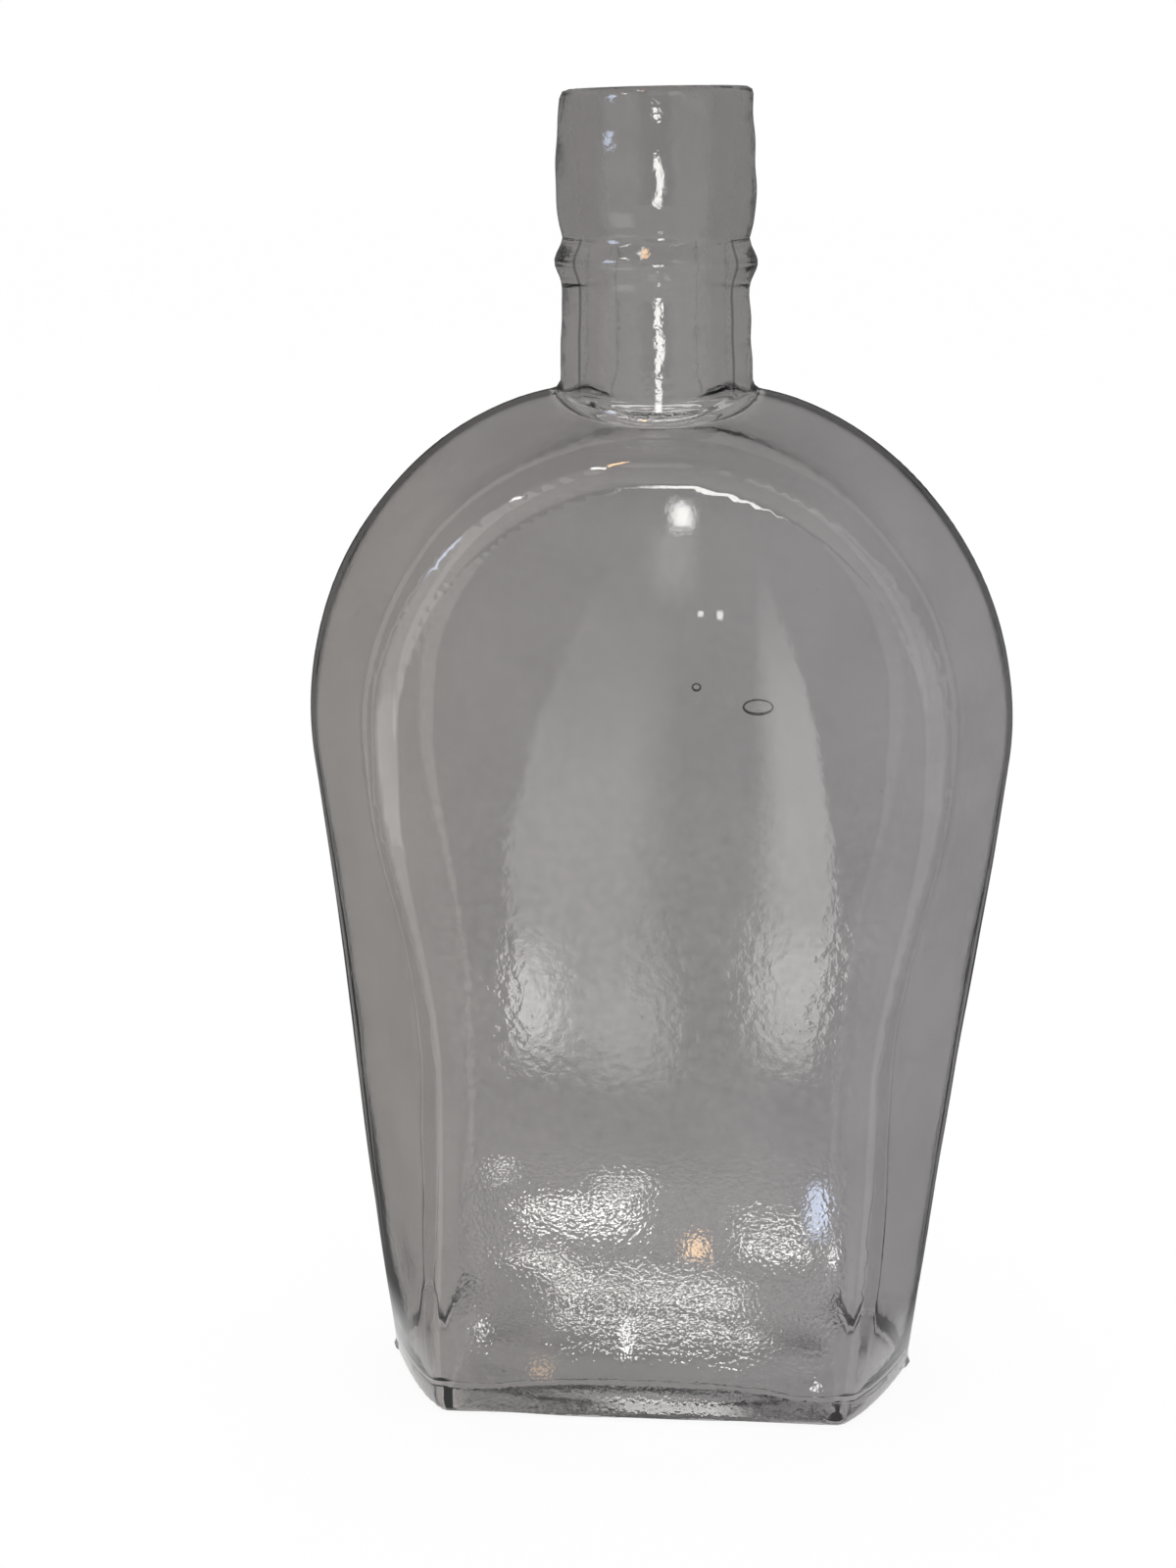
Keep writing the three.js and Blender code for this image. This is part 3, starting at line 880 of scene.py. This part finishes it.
CARD_STEPS = 12
WARM_WHITE = (1, 0.985, 0.96)


def add_card(name, place, soft, radiance=0.0, colour=WARM_WHITE, dim=0.0):
    """A soft card that only reflections show. place(u, v) gives its points for u and v in 0 to 1."""
    steps = np.linspace(0, 1, CARD_STEPS + 1)
    points = [place(u, v) for v in steps for u in steps]
    row = CARD_STEPS + 1
    quads = [
        (i + j * row, i + 1 + j * row, i + 1 + (j + 1) * row, i + (j + 1) * row)
        for j in range(CARD_STEPS)
        for i in range(CARD_STEPS)
    ]
    mesh = bpy.data.meshes.new(name)
    mesh.from_pydata(points, [], quads)
    layer = mesh.uv_layers.new(name="card")
    for loop in mesh.loops:
        layer.data[loop.index].uv = (steps[loop.vertex_index % row], steps[loop.vertex_index // row])
    mesh.materials.append(card_material(name, colour, radiance, dim, soft))
    card = bpy.data.objects.new(name, mesh)
    for ray in ("camera", "diffuse", "transmission", "shadow", "volume_scatter"):
        setattr(card, f"visible_{ray}", False)
    bpy.context.scene.collection.objects.link(card)


def mirror(seen, normal, reach):
    """The point that the camera sees mirrored at a place in mm with a given normal, reach metres away."""
    seen = Vector(seen) * MM
    look = (seen - eye_point).normalized()
    return seen + look.reflect(Vector(normal).normalized()) * reach


def panel_patch(left, right, low, high, reach):
    """Places a card whose image on the front panel runs from left(v) to right(v) between two heights."""

    def place(u, v):
        x = left(v) + (right(v) - left(v)) * u
        return mirror((x, -HALF_DEPTH, low + (high - low) * v), (0, -1, 0), reach)

    return place


def ridge_patch(start, stop, tilt, spread, reach):
    """Places a card whose image lies along the ridge round the panel's top, between two clock angles."""

    def place(u, v):
        turn = math.radians(start + (stop - start) * u)
        lean = math.radians(tilt + spread * (v - 0.5))
        way = Vector((math.sin(turn), 0, math.cos(turn)))
        middle = Vector((0, FACET_SLOPE * FACET_WIDTH - HALF_DEPTH, SHOULDER_HEIGHT))
        seen = way * (PANEL_RADIUS + FACET_WIDTH) + middle
        return mirror(seen, way * math.sin(lean) + Vector((0, -math.cos(lean), 0)), reach)

    return place


def around(start, stop, radius, low, high):
    """Places a card on an upright cylinder about the flask, between two clock angles from the front."""

    def place(u, v):
        turn = math.radians(start + (stop - start) * u)
        return Vector((radius * math.sin(turn), -radius * math.cos(turn), low + (high - low) * v))

    return place


FLAG_CLEARANCE = 0.0005


def low_flag(start, stop, near, radius, high):
    """Places a card that lies on the floor from near to radius and then rises, between two clock angles."""

    def place(u, v):
        turn = math.radians(start + (stop - start) * u)
        reach = near + (radius - near) * min(2 * v, 1)
        rise = FLAG_CLEARANCE + high * max(2 * v - 1, 0)
        return Vector((reach * math.sin(turn), -reach * math.cos(turn), rise))

    return place


add_floor()
set_world()
add_softbox("overhead", (0.0, 0.1, 1.2), (0, 0, 0.08), (0.6, 0.6), 2)
SOFT = (0.3, 0.3, 0.3, 0.3)
COOL = (0.62, 0.74, 1.0)
AMBER = (1.0, 0.62, 0.3)
PATCH_REACH = 0.04  # how far the cards stand off the glass that mirrors them
HAZE_REACH = 0.05
RIDGE_REACH = 0.3
FOOT_REACH = 0.003
SPARKLE_REACH = 0.014
SPARKLE_HEIGHT = 1.7
GLINT_REACH = 0.006

# Dark flags, which outline the glass and calm the neck
add_card("back_flag", low_flag(50, 310, 0.036, 0.4, 0.5), (0.1, 0.1, 0.02, 0.3), dim=0.8)
add_card("front_flag", around(-25, 25, 0.5, 0.075, 0.35), (0.3, 0.3, 0.1, 0.3), dim=0.75)

# Window light on the panel
add_card(
    "bounce_left",
    panel_patch(lambda v: -18.1 + 14.5 * (1.56 * v - 0.55) ** 2, lambda v: 5 - 2 * v, 41, 112, PATCH_REACH),
    (0.08, 0.4, 0.25, 0.5),
    1.9,
)
left_core = panel_patch(lambda v: -18, lambda v: -8, 45, 68, PATCH_REACH)
left_low = panel_patch(lambda v: -12, lambda v: 4, 42, 62, PATCH_REACH)
add_card("bounce_left_core", left_core, (0.12, 0.8, 0.3, 0.6), 6.5)
add_card("bounce_left_low", left_low, (0.4, 0.2, 0.3, 0.5), 1.4)
add_card(
    "bounce_right",
    panel_patch(lambda v: 9 + 2 * v, lambda v: 21.5 - 9.8 * (1.75 * v - 0.7) ** 2, 40, 112, PATCH_REACH),
    (0.5, 0.1, 0.3, 0.35),
    3.2,
)
right_core = panel_patch(lambda v: 9, lambda v: 21, 44, 68, PATCH_REACH)
top_spot = panel_patch(lambda v: 0.3, lambda v: 4.3, 112.4, 117.4, PATCH_REACH)
top_haze = panel_patch(lambda v: -2, lambda v: 5, 103, 114, PATCH_REACH)
add_card("bounce_right_core", right_core, (0.6, 0.15, 0.4, 0.4), 2.4)
add_card("panel_spot", top_spot, (0.45, 0.45, 0.4, 0.4), 18)
add_card("panel_haze", top_haze, (0.4, 0.4, 0.6, 0.2), 1.5)

# Sparkle in the grain low on the panel: left and right end and height of each image in mm, and radiance
SPARKLES = [
    (-16.8, -1.6, 27.6, 34),
    (-7.2, -0.2, 31.7, 14),
    (-20.6, -17.6, 33.9, 10),
    (10.4, 19.0, 25.0, 22),
    (-18.4, -10.6, 20.8, 24),
    (-15.0, 12.0, 17.8, 20),
    (-14.6, 13.7, 12.4, 20),
]
for count, (left, right, middle, radiance) in enumerate(SPARKLES):
    low, high = middle - SPARKLE_HEIGHT / 2, middle + SPARKLE_HEIGHT / 2
    place = panel_patch(lambda v: left, lambda v: right, low, high, SPARKLE_REACH)
    add_card(f"sparkle_{count}", place, (0.1, 0.1, 0.3, 0.3), radiance)

add_card("foot_sparkle", panel_patch(lambda v: -9.5, lambda v: 14, 1.0, 3.0, FOOT_REACH), SOFT, 10)

# Single glints on the panel: left, right, low and high edge of each image in mm, radiance and colour
GLINTS = [
    (-4.2, -3.2, 8.1, 13.5, 25, (1, 1, 1)),
    (-22.7, -21.9, 8.1, 11.8, 20, (1, 1, 1)),
    (19.7, 20.5, 5.3, 6.9, 20, (1, 1, 1)),
    (21.9, 22.6, 20.8, 25.7, 20, (1, 1, 1)),
    (4.6, 5.6, 103.3, 104.3, 12, (1, 1, 1)),
    (6.9, 7.9, 102.9, 104.4, 12, (1, 1, 1)),
    (18.8, 21.8, 24.6, 33.2, 13, COOL),
    (3.6, 7.2, 21.7, 25.5, 15, AMBER),
    (-16.4, -13.2, 4.6, 7.5, 5, AMBER),
]
for count, (left, right, low, high, radiance, colour) in enumerate(GLINTS):
    place = panel_patch(lambda v: left, lambda v: right, low, high, GLINT_REACH)
    add_card(f"glint_{count}", place, SOFT, radiance, colour)

# Lights in the neck, in the ridge round the panel and in its left facet
add_card("neck_strip", around(-3, 8, 0.48, 0.075, 0.2), (0.3, 0.3, 0.1, 0.1), 18)
add_card("left_softbox", around(-58, -20, 0.25, 0.0, 0.095), (0.3, 0.3, 0.05, 0.4), 1.3)
low_haze = panel_patch(lambda v: -26, lambda v: 26, 2, 46, HAZE_REACH)
add_card("low_haze", low_haze, (0.15, 0.15, 0.1, 0.5), 1.3)
add_card("ridge_amber", ridge_patch(-11, -6, 32, 8, RIDGE_REACH), SOFT, 22, AMBER)
add_card("ridge_white", ridge_patch(-14, -11.5, 30, 10, RIDGE_REACH), SOFT, 20)
add_card("ridge_twin", ridge_patch(-30, -27, 30, 10, RIDGE_REACH), SOFT, 20)
add_card("ridge_cool", ridge_patch(-57, -40, 30, 8, RIDGE_REACH), SOFT, 10, COOL)
add_card("ridge_warm", ridge_patch(17, 48, 21, 6, RIDGE_REACH), (0.1, 0.7, 0.3, 0.3), 1.2)
add_camera()
bpy.context.scene.view_settings.view_transform = "Standard"
